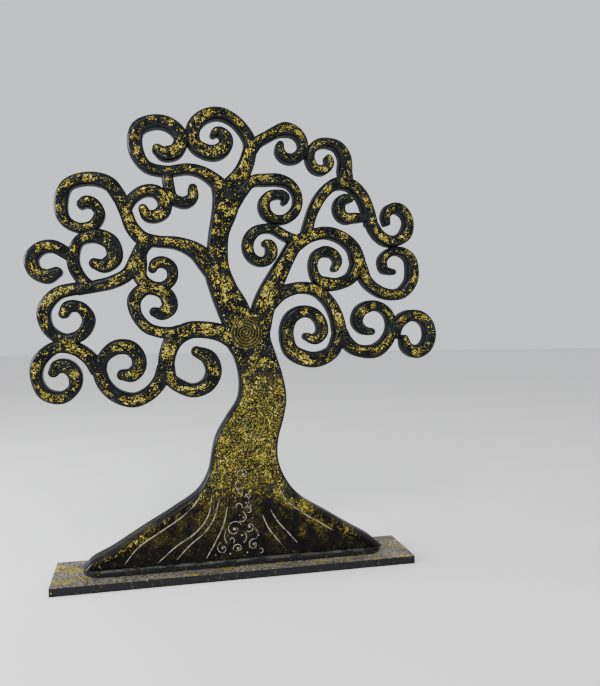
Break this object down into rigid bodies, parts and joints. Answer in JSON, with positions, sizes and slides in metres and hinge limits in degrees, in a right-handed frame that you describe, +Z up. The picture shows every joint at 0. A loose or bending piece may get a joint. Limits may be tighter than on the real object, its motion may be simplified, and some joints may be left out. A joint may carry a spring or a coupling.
{
  "type": "carved tree of life ornament",
  "caption": "Free-standing flat tree with curled scroll branches, carved roots and a spiral medallion, screwed to a flat base board.",
  "frame": {"origin": "middle of the base board's underside", "axes": "+Z up the trunk, +X to the right seen from the front, -Y towards the carved front face"},
  "size_m": [0.625, 0.1, 0.6964],
  "materials": {
    "base_paint": "black paint, top face rubbed with pale gold, satin",
    "rail_paint": "black paint, semi-gloss, front edge rubbed silvery",
    "trunk_paint": "black paint, front face densely rubbed with gold, semi-gloss",
    "limb_paint": "black paint rubbed with gold on the front, semi-gloss",
    "scroll_paint": "black paint rubbed with gold on the front, semi-gloss",
    "dowel_beech": "bare beech",
    "screw_zinc": "zinc plated"
  },
  "bodies": {
    "root": {"base_board": "base_paint", "foot_rail": "rail_paint", "trunk": "trunk_paint", "left_main_limb": "limb_paint", "right_main_limb": "limb_paint", "low_left_limb": "limb_paint", "low_left_bow": "limb_paint", "upper_left_limb": "limb_paint", "far_left_limb": "limb_paint", "top_limb": "limb_paint", "right_arch_limb": "limb_paint", "right_low_limb": "limb_paint", "upper_right_limb": "limb_paint", "low_left_scroll": "scroll_paint", "bow_scroll": "scroll_paint", "left_scroll_lower": "scroll_paint", "far_left_scroll": "scroll_paint", "left_scroll_middle": "scroll_paint", "left_scroll_upper": "scroll_paint", "inner_left_scroll_top": "scroll_paint", "inner_left_scroll_upper": "scroll_paint", "inner_left_scroll_lower": "scroll_paint", "trunk_side_scroll_left": "scroll_paint", "top_left_scroll": "scroll_paint", "top_left_hook": "scroll_paint", "crown_scroll_left": "scroll_paint", "crown_scroll_right": "scroll_paint", "top_right_scroll": "scroll_paint", "centre_scroll_upper": "scroll_paint", "centre_scroll_lower": "scroll_paint", "arch_scroll": "scroll_paint", "right_scroll_top": "scroll_paint", "right_inner_scroll": "scroll_paint", "right_scroll_upper": "scroll_paint", "right_scroll_lower": "scroll_paint", "far_right_scroll": "scroll_paint", "trunk_side_scroll_right": "scroll_paint", "dowel_left_main": "dowel_beech", "dowel_right_main": "dowel_beech", "dowel_low_left": "dowel_beech", "dowel_upper_left": "dowel_beech", "dowel_top_limb": "dowel_beech", "screw_1": "screw_zinc", "screw_2": "screw_zinc", "screw_3": "screw_zinc", "screw_4": "screw_zinc"}
  },
  "joints": []
}
